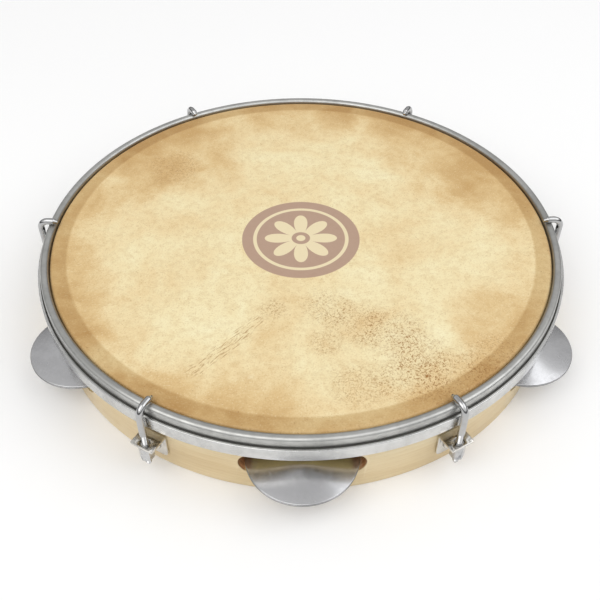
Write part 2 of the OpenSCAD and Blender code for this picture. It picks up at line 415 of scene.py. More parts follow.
# ---------------- materials
def shell_wood(groups):
    """Pale lacquered maple: grain round the hoop, stained slots whose faces looking up or down are painted
    a pale gold as painted bounce light, and plies at the foot.
    """
    material, tree, shader = new_material("lacquered_maple")
    around, radius, height = use(tree, groups["around"]).outputs
    broad = noise(tree, stretch(tree, around, (9.0, 60.0, 70.0)), 1.0, 3.0, 0.55, 0.3)
    grain = noise(tree, stretch(tree, around, (26.0, 500.0, 1100.0)), 1.0, 4.0, 0.6, 0.15)
    pores = noise(tree, stretch(tree, around, (160.0, 1500.0, 4200.0)), 1.0, 1.0, 0.5)
    figure = calc(tree, "ADD", times(tree, broad, 0.6), times(tree, grain, 0.4))
    wood = ramp_of(tree, figure, [(0.30, tone(206, 178, 130)), (0.45, tone(220, 196, 150)),
                                  (0.58, tone(228, 208, 166)), (0.72, tone(234, 217, 180))])
    dark_pore = span(tree, pores, 0.66, 0.74)
    wood = blend(tree, times(tree, dark_pore, 0.35), wood, tone(176, 138, 92))
    inside = times(tree, span(tree, radius, SHELL_RI + 0.3 * MM, SHELL_RI + 0.6 * MM),
                   span(tree, radius, SHELL_R - 0.6 * MM, SHELL_R - 0.3 * MM, 1.0, 0.0))
    slot_top = SLOT_Z + SLOT_H
    in_slot = times(tree, span(tree, height, SLOT_Z - 2 * MM, SLOT_Z - 1 * MM),
                    span(tree, height, slot_top + 1 * MM, slot_top + 2 * MM, 1.0, 0.0))
    cut = times(tree, inside, in_slot)
    stain_and_painted_glow = ramp_of(tree, noise(tree, stretch(tree, around, (300.0, 900.0, 300.0)), 1.0, 3.0, 0.6),
                    [(0.35, tone(178, 118, 72)), (0.65, tone(218, 160, 112))])
    # Painted light: in the slots, faces that look up or down are painted a pale gold, lighter than the
    # plain wood, standing in for light bounced up from the floor.
    level = span(tree, calc(tree, "ABSOLUTE", facing_up(tree)), 0.80, 0.97)
    stain_and_painted_glow = blend(tree, level, stain_and_painted_glow, tone(248, 224, 150))
    wood = blend(tree, cut, wood, stain_and_painted_glow)
    foot = times(tree, span(tree, height, 0.3 * MM, 0.8 * MM, 1.0, 0.0), inside)
    ply = calc(tree, "SINE", times(tree, radius, 2 * math.pi / PLY_T))
    plies = blend(tree, span(tree, ply, -0.4, 0.4), tone(178, 140, 96), tone(226, 200, 158))
    wood = blend(tree, foot, wood, plies)
    worn = use(tree, groups["wear"], Start=0.52, End=0.58, Scale=250.0)
    wood = blend(tree, times(tree, worn.outputs["Wear"], 0.4), wood, tone(238, 222, 190))
    gloss = use(tree, groups["handled"], Scale=35.0, Low=0.34, High=0.5).outputs["Roughness"]
    surface(tree, shader, wood, calc(tree, "MULTIPLY_ADD", cut, 0.2, gloss, clamp=True))
    shader.inputs["Coat Weight"].default_value = 0.25
    shader.inputs["Coat Roughness"].default_value = 0.22
    relief = calc(tree, "SUBTRACT", grain, times(tree, dark_pore, 0.8))
    bump(tree, shader, relief, 0.12, 0.0002)
    return material


def patch(tree, place, x, y, size):
    """A soft round patch on the head, 1 in the middle and 0 outside, with a ragged edge."""
    ragged, edge = 1.1, 0.45
    cloud = put(tree, "TexNoise", {"Vector": place, "Scale": 30.0, "Detail": 4.0}).outputs["Color"]
    shift = put(tree, "VectorMath", {0: cloud, 1: (0.5, 0.5, 0.5)}, operation="SUBTRACT").outputs[0]
    moved = put(tree, "VectorMath", {0: shift, 1: (size * ragged, size * ragged, 0.0), 2: place},
                operation="MULTIPLY_ADD").outputs[0]
    away = put(tree, "VectorMath", {0: moved, 1: (x, y, FILM_TOP)}, operation="DISTANCE").outputs["Value"]
    return span(tree, away, size * edge, size, 1.0, 0.0)


def patches(tree, place, spots):
    """The sum of several patches, each given as the x and y of its middle and its radius."""
    total = patch(tree, place, *spots[0])
    for spot in spots[1:]:
        total = calc(tree, "ADD", total, patch(tree, place, *spot))
    return total


def disc_of(tree, radius, size):
    """A mask that is 1 within a radius."""
    return span(tree, radius, size - BADGE_SOFT, size + BADGE_SOFT, 1.0, 0.0)


def badge_print(tree, place):
    """Masks of a plain printed badge: a disc, and on it a ring and an eight-leaf rosette."""
    x, y, _ = split(tree, stretch(tree, place, (1.0, 1.0, 1.0), move=(0.0, BADGE_Y, 0.0)))
    radius = off_axis(tree, x, y)
    angle = calc(tree, "ARCTAN2", y, x)
    lobe = calc(tree, "ABSOLUTE", calc(tree, "COSINE", times(tree, angle, 4.0)))
    reach = calc(tree, "MULTIPLY_ADD", calc(tree, "POWER", lobe, 0.7), LEAF_REACH, LEAF_START)
    leaf = disc_of(tree, calc(tree, "SUBTRACT", radius, reach), 0.0)
    leaf = times(tree, leaf, span(tree, radius, HUB_R - BADGE_SOFT, HUB_R + BADGE_SOFT))
    from_ring = calc(tree, "ABSOLUTE", calc(tree, "SUBTRACT", radius, BADGE_RING_R))
    motif = calc(tree, "MAXIMUM", leaf, disc_of(tree, from_ring, BADGE_RING_HALF))
    motif = calc(tree, "MAXIMUM", motif, disc_of(tree, radius, EYE_R))
    return disc_of(tree, radius, BADGE_R), motif


def head_film(groups):
    """Skin-look film: cream and gold clouds, mottling, crackle, strokes, pale flecks, a badge, and painted
    shade towards the rim and over the wood.
    """
    material, tree, shader = new_material("skin_look_film")
    place = object_place(tree)
    radius = use(tree, groups["around"]).outputs["Radius"]
    broad = noise(tree, place, 11.0, 5.0, 0.55, 0.4)
    middle = noise(tree, place, 42.0, 5.0, 0.6, 0.6)
    cloud = calc(tree, "MULTIPLY_ADD", middle, 0.36, times(tree, broad, 0.64))
    warm = patches(tree, place, [(-0.088, 0.092, 0.070), (0.128, 0.040, 0.050), (0.075, 0.105, 0.080),
                                 (0.0, 0.135, 0.050), (0.105, -0.075, 0.035), (-0.082, -0.132, 0.030),
                                 (0.086, -0.128, 0.038)])
    pale = patches(tree, place, [(-0.050, -0.020, 0.095), (0.05, 0.04, 0.045), (0.062, -0.10, 0.035),
                                 (0.035, -0.050, 0.030)])
    lit = calc(tree, "MULTIPLY_ADD", warm, -0.13, cloud)
    lit = calc(tree, "MULTIPLY_ADD", pale, 0.10, lit)
    # Painted shade: the skin is darkened towards the rim, where the shell wall keeps light from below from
    # reaching it.
    lit = calc(tree, "SUBTRACT", lit, span(tree, radius, 0.108, 0.150, 0.0, 0.13))
    skin = ramp_of(tree, lit, [(0.24, tone(200, 163, 106)), (0.36, tone(221, 191, 138)),
                               (0.47, tone(235, 213, 165)), (0.58, tone(240, 225, 180)),
                               (0.74, tone(246, 238, 198))])
    fine = noise(tree, place, 260.0, 4.0, 0.65)
    skin = blend(tree, span(tree, fine, 0.42, 0.68, 0.0, 0.24), skin, tone(196, 160, 104))
    grain = noise(tree, place, 1100.0, 2.0, 0.6)
    skin = blend(tree, span(tree, grain, 0.52, 0.72, 0.0, 0.30), skin, tone(186, 146, 92))
    skin = blend(tree, span(tree, grain, 0.28, 0.44, 0.25, 0.0), skin, tone(252, 246, 214))
    slanted = stretch(tree, place, (1.0, 1.0, 1.0), turn=(0.0, 0.0, -0.84))
    strokes = noise(tree, stretch(tree, slanted, (180.0, 1300.0, 420.0)), 1.0, 2.0, 0.6)
    crackle = noise(tree, place, 760.0, 2.0, 0.7, 1.2)
    crowd = patches(tree, place, [(0.014, -0.064, 0.016), (0.030, -0.076, 0.020), (0.048, -0.084, 0.022),
                                  (0.060, -0.100, 0.024), (0.054, -0.116, 0.024), (0.030, -0.122, 0.020),
                                  (0.080, -0.120, 0.026), (0.100, -0.100, 0.022), (-0.016, -0.066, 0.011),
                                  (0.012, -0.092, 0.011), (-0.085, 0.070, 0.026)])
    streak = patches(tree, place, [(-0.056, -0.110, 0.006), (-0.050, -0.104, 0.006),
                                   (-0.044, -0.098, 0.007), (-0.038, -0.091, 0.007),
                                   (-0.032, -0.084, 0.007), (-0.025, -0.076, 0.006)])
    marked = times(tree, span(tree, crackle, 0.50, 0.62), times(tree, crowd, 0.46), clamp=True)
    scattered = times(tree, span(tree, crackle, 0.64, 0.74), 0.5)
    marked = calc(tree, "MAXIMUM", marked, scattered)
    drawn = times(tree, span(tree, strokes, 0.52, 0.62), times(tree, streak, 0.60), clamp=True)
    marked = calc(tree, "MAXIMUM", marked, drawn)
    skin = blend(tree, times(tree, crowd, 0.11, clamp=True), skin, tone(206, 166, 108))
    skin = blend(tree, marked, skin, tone(158, 112, 58))
    flecks = put(tree, "TexVoronoi", {"Vector": place, "Scale": 34.0, "Randomness": 1.0})
    chance = put(tree, "SeparateColor", {0: flecks.outputs["Color"]}).outputs[0]
    rare = span(tree, chance, 0.10, 0.12, 1.0, 0.0)
    pale_fleck = times(tree, span(tree, flecks.outputs["Distance"], 0.02, 0.09, 1.0, 0.0), rare)
    skin = blend(tree, times(tree, pale_fleck, 0.8), skin, tone(252, 244, 210))
    disc, motif = badge_print(tree, place)
    disc = times(tree, disc, span(tree, facing_up(tree), 0.0, 0.5))
    ink = blend(tree, fine, tone(170, 138, 120), tone(181, 152, 134))
    ink = blend(tree, times(tree, motif, 0.85), ink, tone(240, 226, 186))
    skin = blend(tree, times(tree, disc, 0.94), skin, ink)
    # Painted shade: the film over the top of the wall is darkened, as the wood keeps the light from below
    # from shining through it.
    shade_over_wood = span(tree, radius, SHELL_RI - 1.2 * MM, SHELL_RI + 0.8 * MM)
    skin = blend(tree, times(tree, shade_over_wood, 0.50), skin, tone(198, 174, 128), "MULTIPLY")
    gloss = use(tree, groups["handled"], Scale=45.0, Low=0.42, High=0.58)
    surface(tree, shader, skin, gloss.outputs["Roughness"])
    shader.inputs["Specular IOR Level"].default_value = 0.35
    shader.inputs["Sheen Weight"].default_value = 0.05
    relief = calc(tree, "MULTIPLY_ADD", marked, -0.5, fine)
    bump(tree, shader, relief, 0.15, 0.0001)
    return material


def metal(groups, name, colour, low, high, scale, lines=0.0, dull=0.12):
    """Plated or polished metal: handling marks, a little darker where dull, brighter on rubbed edges."""
    material, tree, shader = new_material(name)
    shader.inputs["Metallic"].default_value = 1.0
    marks = use(tree, groups["handled"], Scale=scale, Low=low, High=high)
    darker = tuple(c * (1.0 - dull * 2.0) for c in colour)
    brighter = tuple(min(1.0, c * 1.18) for c in colour)
    skin = blend(tree, marks.outputs["Dull"], (*colour, 1.0), (*darker, 1.0))
    edge = use(tree, groups["wear"])
    skin = blend(tree, times(tree, edge.outputs["Wear"], 0.25), skin, (*brighter, 1.0))
    if lines:
        rolled = use(tree, groups["turned"]).outputs["Lines"]
        spread = calc(tree, "MULTIPLY_ADD", rolled, 0.16, marks.outputs["Roughness"])
        surface(tree, shader, skin, calc(tree, "SUBTRACT", spread, 0.08, clamp=True))
        bump(tree, shader, rolled, lines, 0.00005)
    else:
        surface(tree, shader, skin, marks.outputs["Roughness"])
        bump(tree, shader, noise(tree, object_place(tree), 900.0, 2.0, 0.5), 0.02, 0.00005)
    return material


def jingle_metal(groups):
    """Polished spun steel: rings about the pin, soft smudges and a dark cut rim."""
    material, tree, shader = new_material("spun_steel")
    shader.inputs["Metallic"].default_value = 1.0
    x, y, _ = split(tree, put(tree, "Attribute", attribute_name="from_pin").outputs["Vector"])
    radius = off_axis(tree, x, y)
    outward = put(tree, "CombineXYZ", {0: times(tree, radius, 2600.0)}).outputs[0]
    rings = noise(tree, outward, 1.0, 2.0, 0.5)
    marks = use(tree, groups["handled"], Scale=70.0, Low=0.17, High=0.27)
    skin = blend(tree, marks.outputs["Dull"], (0.60, 0.60, 0.61, 1.0), (0.52, 0.52, 0.53, 1.0))
    edge = use(tree, groups["wear"])
    skin = blend(tree, times(tree, edge.outputs["Wear"], 0.4), skin, grey(0.78))
    rim = span(tree, radius, JINGLE_R - 0.16 * MM, JINGLE_R - 0.06 * MM)
    skin = blend(tree, rim, skin, grey(0.20))
    rough = calc(tree, "MULTIPLY_ADD", rings, 0.08, marks.outputs["Roughness"])
    rough = calc(tree, "MULTIPLY_ADD", rim, 0.25, rough)
    surface(tree, shader, skin, calc(tree, "SUBTRACT", rough, 0.04, clamp=True))
    bump(tree, shader, rings, 0.06, 0.00005)
    return material


def resin_matt(groups):
    """Dark cast resin, matt, with trapped bubbles."""
    material, tree, shader = new_material("cast_resin")
    place = object_place(tree)
    bubbles = put(tree, "TexVoronoi", {"Vector": place, "Scale": 900.0}).outputs["Distance"]
    cloud = noise(tree, place, 120.0, 4.0)
    shade = blend(tree, cloud, (0.035, 0.034, 0.03, 1.0), (0.09, 0.085, 0.075, 1.0))
    gloss = use(tree, groups["handled"], Scale=80.0, Low=0.55, High=0.75)
    surface(tree, shader, shade, gloss.outputs["Roughness"])
    bump(tree, shader, bubbles, 0.25, 0.0002)
    return material


def floor_paper():
    """The pale floor."""
    material, tree, shader = new_material("pale_floor")
    shade = blend(tree, noise(tree, object_place(tree), 3.0, 2.0), grey(0.955), grey(0.97))
    surface(tree, shader, shade, 0.9)
    shader.inputs["Specular IOR Level"].default_value = 0.1
    return material


# ---------------- modelling tools
def clear_selection():
    """Leaves edit mode and selects nothing."""
    if bpy.context.object and bpy.context.object.mode != "OBJECT":
        bpy.ops.object.mode_set(mode="OBJECT")
    bpy.ops.object.select_all(action="DESELECT")


def focus(piece):
    """Makes a piece the only one selected and active."""
    clear_selection()
    piece.select_set(True)
    bpy.context.view_layer.objects.active = piece


def named(piece, name):
    """Gives a piece and its mesh a name."""
    piece.name = name
    piece.data.name = name
    return piece


def begin(name):
    """Names the primitive that was just added and opens it for editing."""
    piece = named(bpy.context.object, name)
    bpy.ops.object.transform_apply(location=True, rotation=True, scale=True)
    bpy.ops.object.mode_set(mode="EDIT")
    bpy.ops.mesh.select_mode(type="VERT")
    bpy.ops.mesh.select_all(action="SELECT")
    return piece


def done():
    """Leaves edit mode."""
    bpy.ops.object.mode_set(mode="OBJECT")


def pick(piece, kind, test):
    """In edit mode, selects the vertices, edges or faces that pass a test."""
    bpy.ops.mesh.select_all(action="DESELECT")
    bpy.ops.mesh.select_mode(type=kind)
    mesh = bmesh.from_edit_mesh(piece.data)
    parts = {"VERT": mesh.verts, "EDGE": mesh.edges, "FACE": mesh.faces}[kind]
    for part in parts:
        if test(part):
            part.select_set(True)
    mesh.select_flush_mode()
    bmesh.update_edit_mesh(piece.data)


def edge_way(edge):
    """The direction of an edge."""
    return (edge.verts[1].co - edge.verts[0].co).normalized()


def chain(name, points, closed=False):
    """A line of edges through (x, y, z) points, drawn out of one corner, left open for editing."""
    clear_selection()
    bpy.ops.mesh.primitive_plane_add(size=MM, location=points[0])
    piece = begin(name)
    bpy.ops.mesh.merge(type="CENTER")
    for before, after in zip(points, points[1:]):
        step = [b - a for a, b in zip(before, after)]
        bpy.ops.mesh.extrude_vertices_move(TRANSFORM_OT_translate={"value": step})
    if closed:
        bpy.ops.mesh.select_all(action="SELECT")
        bpy.ops.mesh.edge_face_add()
        bpy.ops.mesh.delete(type="ONLY_FACE")
    return piece


def tidy_mesh(gap=0.001 * MM):
    """Merges doubles and turns all faces outward, in edit mode."""
    bpy.ops.mesh.select_all(action="SELECT")
    bpy.ops.mesh.remove_doubles(threshold=gap)
    bpy.ops.mesh.normals_make_consistent(inside=False)


def turned(name, profile, steps=RING_STEPS, closed=True):
    """A turned piece: a profile of (radius, height) points spun once round the Z axis."""
    piece = chain(name, [(r, 0.0, z) for r, z in profile], closed)
    bpy.ops.mesh.select_all(action="SELECT")
    bpy.ops.mesh.spin(steps=steps, angle=2 * math.pi, center=(0, 0, 0), axis=(0, 0, 1))
    tidy_mesh()
    done()
    return piece


def arc(x, y, r, start, end, steps):
    """Points of an arc about (x, y), angles in degrees."""
    angles = [math.radians(start + (end - start) * i / steps) for i in range(steps + 1)]
    return [(x + r * math.cos(a), y + r * math.sin(a)) for a in angles]


def finish_with(piece, kind, **settings):
    """Adds a modifier, sets it and applies it."""
    focus(piece)
    modifier = piece.modifiers.new(kind.lower(), kind)
    for name, value in settings.items():
        setattr(modifier, name, value)
    bpy.ops.object.modifier_apply(modifier=modifier.name)


def carve(piece, cutter, operation="DIFFERENCE"):
    """Cuts a piece with another one, which is then thrown away."""
    finish_with(piece, "BOOLEAN", object=cutter, operation=operation, solver="EXACT")
    bpy.data.objects.remove(cutter)


def ease_edges(piece, width, degrees=40.0):
    """Breaks the sharp edges of a piece."""
    finish_with(piece, "BEVEL", width=width, segments=2, limit_method="ANGLE",
                angle_limit=math.radians(degrees), harden_normals=False, use_clamp_overlap=True)


def pull(way):
    """Extrudes what is selected by a vector, in edit mode."""
    bpy.ops.mesh.extrude_region_move(TRANSFORM_OT_translate={"value": way})


def smooth(piece, degrees=35.0):
    """Shades a piece smooth, but for its sharp edges."""
    focus(piece)
    bpy.ops.object.shade_smooth_by_angle(angle=math.radians(degrees))


def rod_cutter(radius, depth, place, rotation=(0.0, 0.0, 0.0), sides=32):
    """A round bar to cut a hole with."""
    clear_selection()
    bpy.ops.mesh.primitive_cylinder_add(vertices=sides, radius=radius, depth=depth, location=place,
                                        rotation=rotation)
    cutter = begin("cutter")
    done()
    return cutter


def joined(pieces, name):
    """Several pieces as one."""
    clear_selection()
    for piece in pieces:
        piece.select_set(True)
    bpy.context.view_layer.objects.active = pieces[0]
    bpy.ops.object.join()
    return named(bpy.context.object, name)


def put_in_place(piece, turn=0.0, place=(0.0, 0.0, 0.0), tip=0.0):
    """Turns a piece about Z, after tipping it about Y, moves it, and leaves its object at the origin."""
    focus(piece)
    piece.rotation_euler = (0.0, tip, turn)
    piece.location = place
    bpy.ops.object.transform_apply(location=True, rotation=True, scale=True)


def copy_of(master, name):
    """A copy with its own mesh."""
    focus(master)
    bpy.ops.object.duplicate(linked=False)
    return named(bpy.context.object, name)


def hand_over(piece, body, node, material):
    """Gives a finished piece its finish and its body, and lets it stand for its CAD node."""
    piece.data.materials.clear()
    piece.data.materials.append(material)
    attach(piece, body)
    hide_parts(node)


def hexagon_nut(name, across, height, bore, edge=0.12 * MM):
    """A hexagon nut standing on z = 0 with chamfered corners and a bore."""
    corner = across / math.sqrt(3)
    clear_selection()
    bpy.ops.mesh.primitive_cylinder_add(vertices=6, radius=corner, depth=height,
                                        location=(0, 0, height / 2), rotation=(0, 0, math.radians(30)))
    nut = begin(name)
    done()
    cut = (corner - across / 2) * 0.6
    flat_r, wide_r = across / 2 * 0.97, corner + 0.01 * MM
    barrel = turned("barrel", [(0.0, 0.0), (flat_r, 0.0), (wide_r, cut), (wide_r, height - cut),
                               (flat_r, height), (0.0, height)], steps=72, closed=False)
    carve(nut, barrel, "INTERSECT")
    carve(nut, rod_cutter(bore / 2, height * 3, (0, 0, height / 2)))
    ease_edges(nut, edge, 25.0)
    smooth(nut, 30.0)
    return nut


def thread(name, diameter, pitch, bottom, top):
    """A real helical thread about the Z axis, closed at both ends."""
    crest = diameter / 2
    core = crest - THREAD_DEPTH * pitch
    turns = int(round((top - bottom) / pitch))
    piece = chain(name, [(core, 0.0, bottom), (crest, 0.0, bottom + 0.42 * pitch),
                         (crest, 0.0, bottom + 0.55 * pitch), (core, 0.0, bottom + pitch)])
    done()
    finish_with(piece, "SCREW", axis="Z", angle=2 * math.pi, screw_offset=pitch, iterations=turns,
                steps=20, render_steps=20, use_merge_vertices=True, merge_threshold=0.0005 * MM)
    bpy.ops.object.mode_set(mode="EDIT")
    bpy.ops.mesh.select_all(action="SELECT")
    bpy.ops.mesh.remove_doubles(threshold=0.001 * MM)
    bpy.ops.mesh.select_all(action="DESELECT")
    bpy.ops.mesh.select_mode(type="EDGE")
    bpy.ops.mesh.select_non_manifold(extend=False, use_wire=False, use_boundary=True,
                                     use_multi_face=False, use_non_contiguous=False, use_verts=False)
    bpy.ops.mesh.fill_holes(sides=0)
    tidy_mesh()
    done()
    smooth(piece, 50.0)
    return piece


# ---------------- pieces
def slot_cutter(azimuth):
    """A bar with round ends that cuts one jingle slot through the wall."""
    clear_selection()
    past = 30 * MM
    reach = SHELL_WALL + 2 * past
    middle = (SHELL_RI - past + reach / 2, 0, SLOT_Z + SLOT_H / 2)
    bpy.ops.mesh.primitive_cube_add(size=1.0, location=middle, scale=(reach, SLOT_W, SLOT_H))
    cutter = begin("cutter")
    pick(cutter, "EDGE", lambda e: abs(edge_way(e).x) > 0.9)
    bpy.ops.mesh.bevel(offset=SLOT_H * 0.499, segments=12, affect="EDGES", clamp_overlap=False)
    tidy_mesh(0.05 * MM)
    done()
    put_in_place(cutter, turn=azimuth)
    return cutter


def make_shell(material):
    """The bent-wood shell: turned section, then slots, pin holes and screw holes."""
    f, i = FOOT_ROUND, TOP_INNER_BREAK
    step_z = HOOP_Z - 0.5 * MM
    profile = [(SHELL_RI + f, 0.0), (SHELL_R - f, 0.0)]
    profile += arc(SHELL_R - f, f, f, -60, 0, 3)
    profile += [(SHELL_R, step_z - SHELL_STEP / 2), (STEP_R, step_z)]
    profile += arc(STEP_R - EDGE_ROUND, SHELL_TOP - EDGE_ROUND, EDGE_ROUND, 0, 90, 6)
    profile += [(SHELL_RI + i, SHELL_TOP), (SHELL_RI, SHELL_TOP - i), (SHELL_RI, f)]
    shell = turned("shell_hoop", profile)
    cutters = [slot_cutter(azimuth_of("jingle_pin_" + j)) for j in JINGLES]
    for j in JINGLES:
        pin = middle_of("jingle_pin_" + j)
        cutters.append(rod_cutter(PIN_HOLE_R, PIN_HOLE_DEPTH, (pin.x, pin.y, PIN_HOLE_Z), sides=24))
    middle = SHELL_R - SHELL_WALL / 2
    for h in HOOKS:
        a = azimuth_of("bracket_" + h)
        place = (middle * math.cos(a), middle * math.sin(a), SCREW_Z)
        cutters.append(rod_cutter(SCREW_HOLE_R, 30 * MM, place, rotation=(0, SIDEWAYS, a), sides=24))
    for cutter in cutters:
        carve(shell, cutter)
    ease_edges(shell, 0.45 * MM, 50.0)
    focus(shell)
    bpy.ops.object.mode_set(mode="EDIT")
    tidy_mesh(0.0005 * MM)
    done()
    smooth(shell, 40.0)
    hand_over(shell, "root", "shell", material)


def make_film(material):
    """The head: a flat film that rounds the bearing edge, drops and flares into the channel."""
    lean_r = STEP_R - EDGE_ROUND
    edge_z = SHELL_TOP - EDGE_ROUND
    under = [(0.0, SHELL_TOP), (lean_r * 0.5, SHELL_TOP), (SHELL_RI, SHELL_TOP), (lean_r, SHELL_TOP)]
    under += arc(lean_r, edge_z, EDGE_ROUND + 0.05 * MM, 80, 0, 8)
    under += [(SKIRT_R, FLARE_Z), (TUCK_R, FLARE_Z), (TUCK_R, TUCK_FOOT)]
    over = [(TUCK_R + FILM_T, TUCK_FOOT), (TUCK_R + FILM_T, FLARE_Z + FILM_T),
            (SKIRT_R + FILM_T, FLARE_Z + FILM_T)]
    over += arc(lean_r, edge_z, EDGE_ROUND + 0.1 * MM + FILM_T, 0, 80, 8)
    over += [(lean_r, FILM_TOP), (SHELL_RI, FILM_TOP), (lean_r * 0.5, FILM_TOP), (0.0, FILM_TOP)]
    film = turned("skin_film", under + over, closed=False)
    smooth(film, 40.0)
    hand_over(film, "root", "head_film", material)


def make_hoops(aluminium, steel, resin):
    """The channel hoop with its resin, and the counterhoop that presses on it."""
    resin_r = HOOP_R - LIP_T
    inner = HOOP_RI + HOOP_T
    f, lip, b = HOOP_FOOT_ROUND, LIP_ROUND, LIP_BREAK
    profile = [(HOOP_RI + 0.4 * MM, HOOP_Z), (HOOP_R - f, HOOP_Z)]
    profile += arc(HOOP_R - f, HOOP_Z + f, f, -60, 0, 4)
    profile += arc(HOOP_R - lip, HOOP_TOP - lip, lip, 0, 90, 6)
    profile += arc(resin_r + b, HOOP_TOP - b, b, 90, 180, 3)
    profile += [(resin_r, HOOP_Z + HOOP_T), (inner, HOOP_Z + HOOP_T), (inner, FLARE_Z - 0.1 * MM),
                (HOOP_RI, FLARE_Z - 0.1 * MM), (HOOP_RI, HOOP_Z + 0.4 * MM)]
    channel = turned("channel_hoop", profile)
    smooth(channel)
    hand_over(channel, "root", "head_hoop", aluminium)

    bead = turned("resin_bead", [
        (inner, HOOP_Z + HOOP_T), (resin_r, HOOP_Z + HOOP_T), (resin_r, HOOP_TOP - 0.8 * MM),
        (resin_r - 0.3 * MM, RESIN_TOP - 0.15 * MM), (resin_r - 1.0 * MM, RESIN_TOP),
        (TUCK_R + FILM_T, RESIN_TOP), (TUCK_R + FILM_T, TUCK_FOOT), (TUCK_R, TUCK_FOOT),
        (TUCK_R, FLARE_Z), (inner, FLARE_Z)])
    smooth(bead)
    hand_over(bead, "root", "hoop_resin", resin)

    r = COUNTER_ROUND
    z0, z1 = counter_low.z, counter_high.z
    ri = COUNTER_R - COUNTER_W
    small = COUNTER_FOOT_ROUND
    profile = arc(COUNTER_R - small, z0 + small, small, -90, 0, 3)
    profile += arc(COUNTER_R - r, z1 - r, r, 0, 90, 10)
    profile += arc(ri + r, z1 - r, r, 90, 180, 10)
    profile += arc(ri + small, z0 + small, small, 180, 270, 3)
    counter = turned("counter_hoop", profile)
    smooth(counter)
    hand_over(counter, "root", "counterhoop", steel)


def rounded_end(middle, way, radius, steps=5):
    """Closes the selected ring with a half ball, in edit mode."""
    reach, wide = 0.0, 1.0
    for i in range(1, steps + 1):
        a = math.radians(88 * i / steps)
        push = radius * math.sin(a) - reach
        reach += push
        middle = middle + way * push
        pull(way * push)
        narrow = math.cos(a) / wide
        wide = math.cos(a)
        bpy.ops.transform.resize(value=(narrow, narrow, narrow), center_override=middle)
    bpy.ops.mesh.merge(type="CENTER")


def hook_master():
    """A claw hook at azimuth 0: shoulder, rod, quarter bend over the counterhoop and a tapered claw."""
    low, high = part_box("hook_right")
    rod_r = ROD_D / 2
    claw_z = high.z - rod_r
    foot = low.z
    base = THREAD_TOP + SHOULDER_H
    clear_selection()
    bpy.ops.mesh.primitive_circle_add(vertices=28, radius=rod_r, location=(ROD_X, 0, base))
    hook = begin("hook_master")
    pull((0, 0, claw_z - BEND_R - base))
    bpy.ops.mesh.spin(steps=12, angle=math.pi / 2, axis=(0, 1, 0),
                      center=(ROD_X - BEND_R, 0, claw_z - BEND_R))
    pull((-(ROD_X - BEND_R - CLAW_BEND_R), 0, 0))
    bpy.ops.mesh.spin(steps=4, angle=CLAW_DROP, axis=(0, 1, 0), center=(CLAW_BEND_R, 0, claw_z - rod_r))
    cosine, sine = math.cos(CLAW_DROP), math.sin(CLAW_DROP)
    middle = Vector((CLAW_BEND_R - rod_r * sine, 0, claw_z - rod_r * (1 - cosine)))
    way = Vector((-cosine, 0, -sine))
    steps, wide = 4, 1.0
    length = CLAW_TIP - 0.4 * MM
    for i in range(1, steps + 1):
        middle = middle + way * (length / steps)
        pull(way * (length / steps))
        now = 1.0 + (CLAW_TIP_D / ROD_D - 1.0) * i / steps
        bpy.ops.transform.resize(value=(now / wide,) * 3, center_override=middle)
        wide = now
    rounded_end(middle, way, CLAW_TIP_D / 2)
    pick(hook, "VERT", lambda v: abs(v.co.z - base) < 0.01 * MM and v.co.x > ROD_X - 3 * MM)
    shoulder = Vector((0, 0, -1)) * SHOULDER_H
    pull(shoulder)
    middle = Vector((ROD_X, 0, base)) + shoulder
    narrow = (THREAD_D * 0.9) / ROD_D
    bpy.ops.transform.resize(value=(narrow, narrow, 1.0), center_override=middle)
    bpy.ops.mesh.edge_face_add()
    tidy_mesh()
    done()
    smooth(hook, 40.0)
    turns = int((THREAD_TOP - foot - 0.5 * MM) / THREAD_PITCH)
    bottom = THREAD_TOP - turns * THREAD_PITCH
    screw = thread("hook_thread", THREAD_D, THREAD_PITCH, bottom, THREAD_TOP)
    core = THREAD_D / 2 - THREAD_DEPTH * THREAD_PITCH
    tip = turned("thread_tip", [(0.0, foot), (core - 0.2 * MM, foot), (core, foot + 0.35 * MM),
                                (core, bottom + 2 * MM), (0.0, bottom + 2 * MM)], steps=24, closed=False)
    smooth(tip)
    shaft = joined([screw, tip], "hook_thread")
    put_in_place(shaft, place=(ROD_X, 0, 0))
    return joined([hook, shaft], "hook_master")


def nut_master():
    """The long hexagon nut with its collar."""
    low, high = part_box("hook_nut_right")
    height = high.z - low.z - COLLAR_H
    top = height + COLLAR_H
    bore = THREAD_D + 0.1 * MM
    nut = hexagon_nut("nut_master", NUT_AF, height, bore, 0.18 * MM)
    neck = turned("neck", [(bore / 2, height - 0.2 * MM), (COLLAR_D / 2, height - 0.2 * MM),
                           (COLLAR_D / 2, top - 0.15 * MM), (COLLAR_D / 2 - 0.15 * MM, top),
                           (bore / 2, top)], steps=48)
    smooth(neck)
    whole = joined([nut, neck], "nut_master")
    put_in_place(whole, place=(ROD_X, 0, low.z))
    return whole


